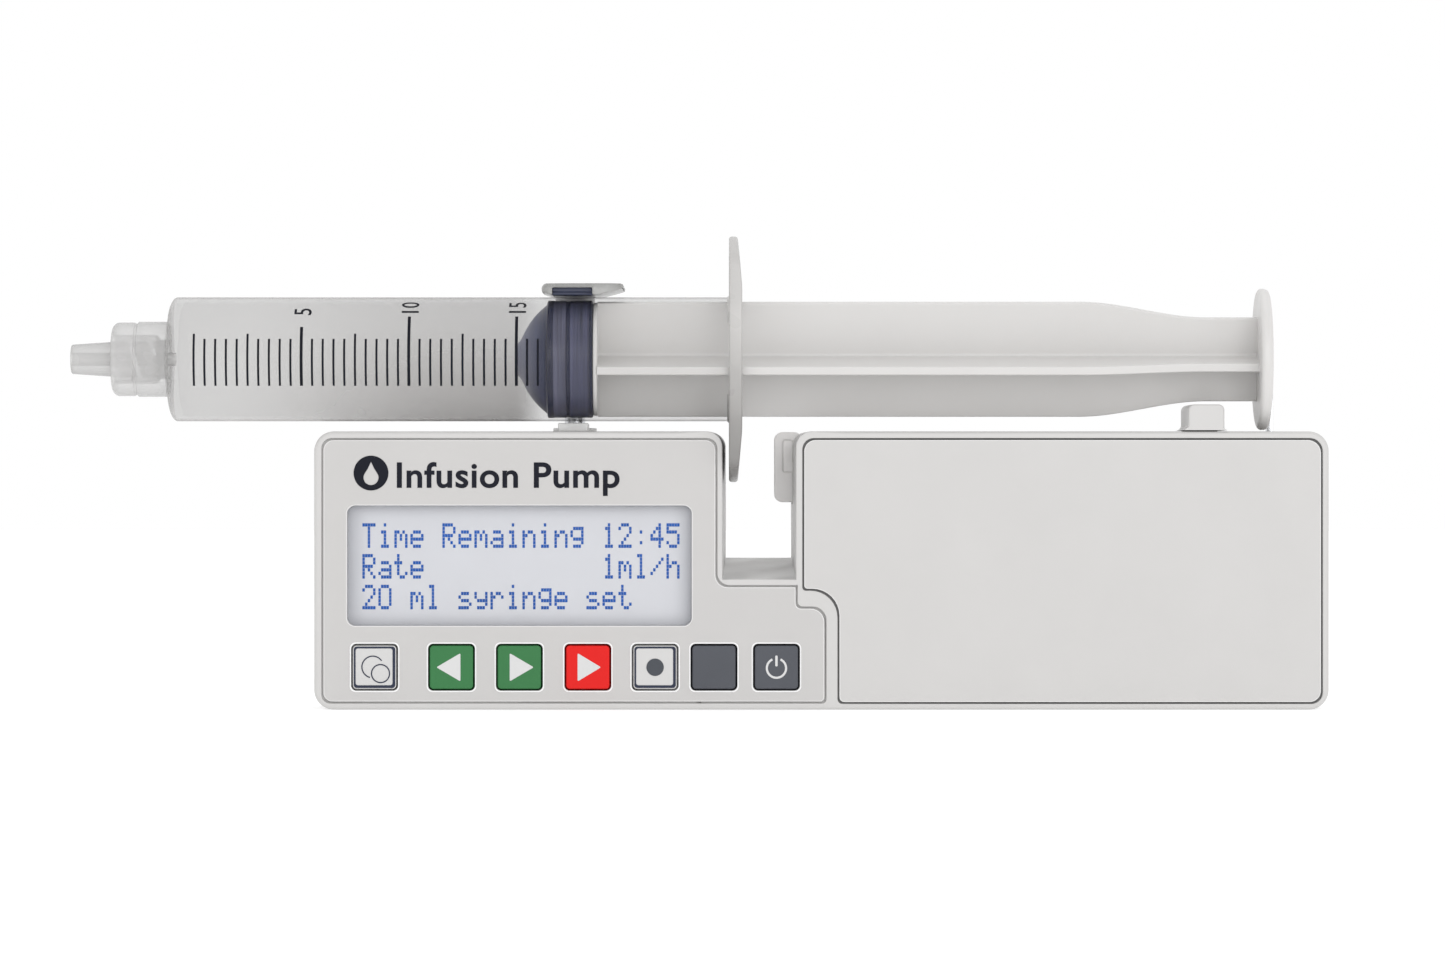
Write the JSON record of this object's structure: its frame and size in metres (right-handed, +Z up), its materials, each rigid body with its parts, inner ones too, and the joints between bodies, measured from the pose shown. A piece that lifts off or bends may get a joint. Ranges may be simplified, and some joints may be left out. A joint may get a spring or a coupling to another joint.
{
  "type": "syringe infusion pump",
  "caption": "Slim syringe infusion pump with display and keys, a loaded syringe held by a swing clamp, and a screw-driven plunger actuator.",
  "frame": {"origin": "centre of the housing's base, on the surface that the pump stands on", "axes": "+X to the right along the syringe, from the nozzle to the thumb disc; the display and keys face -Y; +Z up"},
  "size_m": [0.2102, 0.0284, 0.0791],
  "materials": {
    "case_plastic": "fine moulded grain, satin",
    "panel_film": "fine-grain overlay, matte",
    "sensor_plastic": "satin",
    "window_clear": "clear",
    "lcd": "matte polariser",
    "light_plastic": "frosted",
    "dark_plastic": "satin",
    "key_rubber": "matte",
    "gasket_rubber": "matte",
    "circuit_board": "solder mask",
    "chip_plastic": "matte",
    "cable_film": "satin",
    "key_white": "satin",
    "key_green": "satin",
    "key_red": "satin",
    "key_grey": "satin",
    "steel": "ground",
    "spring_steel": "drawn wire",
    "frame_metal": "bead blasted",
    "bronze": "turned",
    "gear_plastic": "natural acetal",
    "carriage_plastic": "glass filled",
    "battery_can": "printed sleeve, no lettering",
    "navy_rubber": "satin",
    "navy_plastic": "satin",
    "smoke_clear": "translucent smoke",
    "barrel_clear": "translucent polypropylene",
    "plunger_plastic": "satin polyethylene",
    "stopper_rubber": "siliconised"
  },
  "bodies": {
    "housing": {"front_case": "case_plastic", "rear_case": "case_plastic", "case_gasket": "gasket_rubber", "case_screws": "steel", "keypad_panel": "panel_film", "drive_cover": "case_plastic", "display_window": "window_clear", "lcd_glass": "lcd", "backlight": "light_plastic", "display_holder": "dark_plastic", "key_mat": "key_rubber", "key_board": "circuit_board", "main_board": "circuit_board", "board_chips": "chip_plastic", "buzzer": "dark_plastic", "ribbon_cable": "cable_film", "drive_frame": "frame_metal", "guide_rods": "steel", "screw_bearings": "bronze", "motor_gearbox": "bronze", "drive_motor": "steel", "battery": "battery_can", "battery_contacts": "bronze", "sensor_spring": "spring_steel", "sensor_switch": "dark_plastic", "clamp_bushes": "bronze", "clamp_spring": "spring_steel", "saddle_pad": "navy_rubber"},
    "screw": {"lead_screw": "steel", "screw_gear": "gear_plastic"},
    "motor_pinion": {"motor_gear": "gear_plastic"},
    "actuator": {"carriage": "carriage_plastic", "drive_nut": "bronze", "actuator_head": "case_plastic", "plunger_pusher": "steel"},
    "clamp_slider": {"clamp_collar": "steel"},
    "clamp_head": {"clamp_post": "steel", "clamp_arm": "navy_plastic", "clamp_pad": "navy_rubber", "clamp_tab": "smoke_clear"},
    "sensor": {"flange_sensor": "sensor_plastic"},
    "door": {"battery_door": "case_plastic"},
    "syringe": {"syringe_barrel": "barrel_clear", "luer_collar": "barrel_clear"},
    "plunger": {"plunger_rod": "plunger_plastic", "plunger_stopper": "stopper_rubber"},
    "mode_key": {"mode_key": "key_white"},
    "back_key": {"back_key": "key_green"},
    "next_key": {"next_key": "key_green"},
    "start_key": {"start_key": "key_red"},
    "stop_key": {"stop_key": "key_white"},
    "light_key": {"light_key": "key_grey"},
    "power_key": {"power_key": "key_grey"}
  },
  "joints": [
    {"name": "mode_key_press", "type": "slide", "parent": "housing", "child": "mode_key", "axis": [0, 1, 0], "range_m": [0, 0.0005], "stiffness_N_per_m": 400, "springref_m": -0.001},
    {"name": "back_key_press", "type": "slide", "parent": "housing", "child": "back_key", "axis": [0, 1, 0], "range_m": [0, 0.0005], "stiffness_N_per_m": 400, "springref_m": -0.001},
    {"name": "next_key_press", "type": "slide", "parent": "housing", "child": "next_key", "axis": [0, 1, 0], "range_m": [0, 0.0005], "stiffness_N_per_m": 400, "springref_m": -0.001},
    {"name": "start_key_press", "type": "slide", "parent": "housing", "child": "start_key", "axis": [0, 1, 0], "range_m": [0, 0.0005], "stiffness_N_per_m": 400, "springref_m": -0.001},
    {"name": "stop_key_press", "type": "slide", "parent": "housing", "child": "stop_key", "axis": [0, 1, 0], "range_m": [0, 0.0005], "stiffness_N_per_m": 400, "springref_m": -0.001},
    {"name": "light_key_press", "type": "slide", "parent": "housing", "child": "light_key", "axis": [0, 1, 0], "range_m": [0, 0.0005], "stiffness_N_per_m": 400, "springref_m": -0.001},
    {"name": "power_key_press", "type": "slide", "parent": "housing", "child": "power_key", "axis": [0, 1, 0], "range_m": [0, 0.0005], "stiffness_N_per_m": 400, "springref_m": -0.001},
    {"name": "lead_screw_turn", "type": "hinge", "parent": "housing", "child": "screw", "pos_m": [0, -0.0025, 0.037], "axis": [1, 0, 0], "range_deg": [-1080, 19440]},
    {"name": "motor_pinion_turn", "type": "hinge", "parent": "housing", "child": "motor_pinion", "pos_m": [0, -0.0025, 0.025], "axis": [1, 0, 0], "range_deg": [-19440, 1080]},
    {"name": "actuator_slide", "type": "slide", "parent": "housing", "child": "actuator", "axis": [1, 0, 0], "range_m": [-0.054, 0.003]},
    {"name": "syringe_unload", "type": "slide", "parent": "housing", "child": "syringe", "axis": [0, -1, 0], "range_m": [0, 0.045]},
    {"name": "plunger_slide", "type": "slide", "parent": "syringe", "child": "plunger", "axis": [1, 0, 0], "range_m": [-0.054, 0.003]},
    {"name": "clamp_lift", "type": "slide", "parent": "housing", "child": "clamp_slider", "axis": [0, 0, 1], "range_m": [0, 0.006], "stiffness_N_per_m": 300, "springref_m": -0.006, "deforming": ["clamp_spring"]},
    {"name": "clamp_swing", "type": "hinge", "parent": "clamp_slider", "child": "clamp_head", "pos_m": [-0.0415, 0.00945, 0.06], "axis": [0, 0, 1], "range_deg": [0, 180]},
    {"name": "flange_sensor_press", "type": "slide", "parent": "housing", "child": "sensor", "axis": [1, 0, 0], "range_m": [0, 0.002], "stiffness_N_per_m": 200, "springref_m": -0.002, "deforming": ["sensor_spring"]},
    {"name": "battery_door_slide", "type": "slide", "parent": "housing", "child": "door", "axis": [1, 0, 0], "range_m": [0, 0.05]}
  ],
  "couplings": [
    {"joint": "lead_screw_turn", "follows": "actuator_slide", "rad_per_m": -6283.2},
    {"joint": "motor_pinion_turn", "follows": "actuator_slide", "rad_per_m": 6283.2},
    {"joint": "plunger_slide", "follows": "actuator_slide", "ratio": 1}
  ]
}
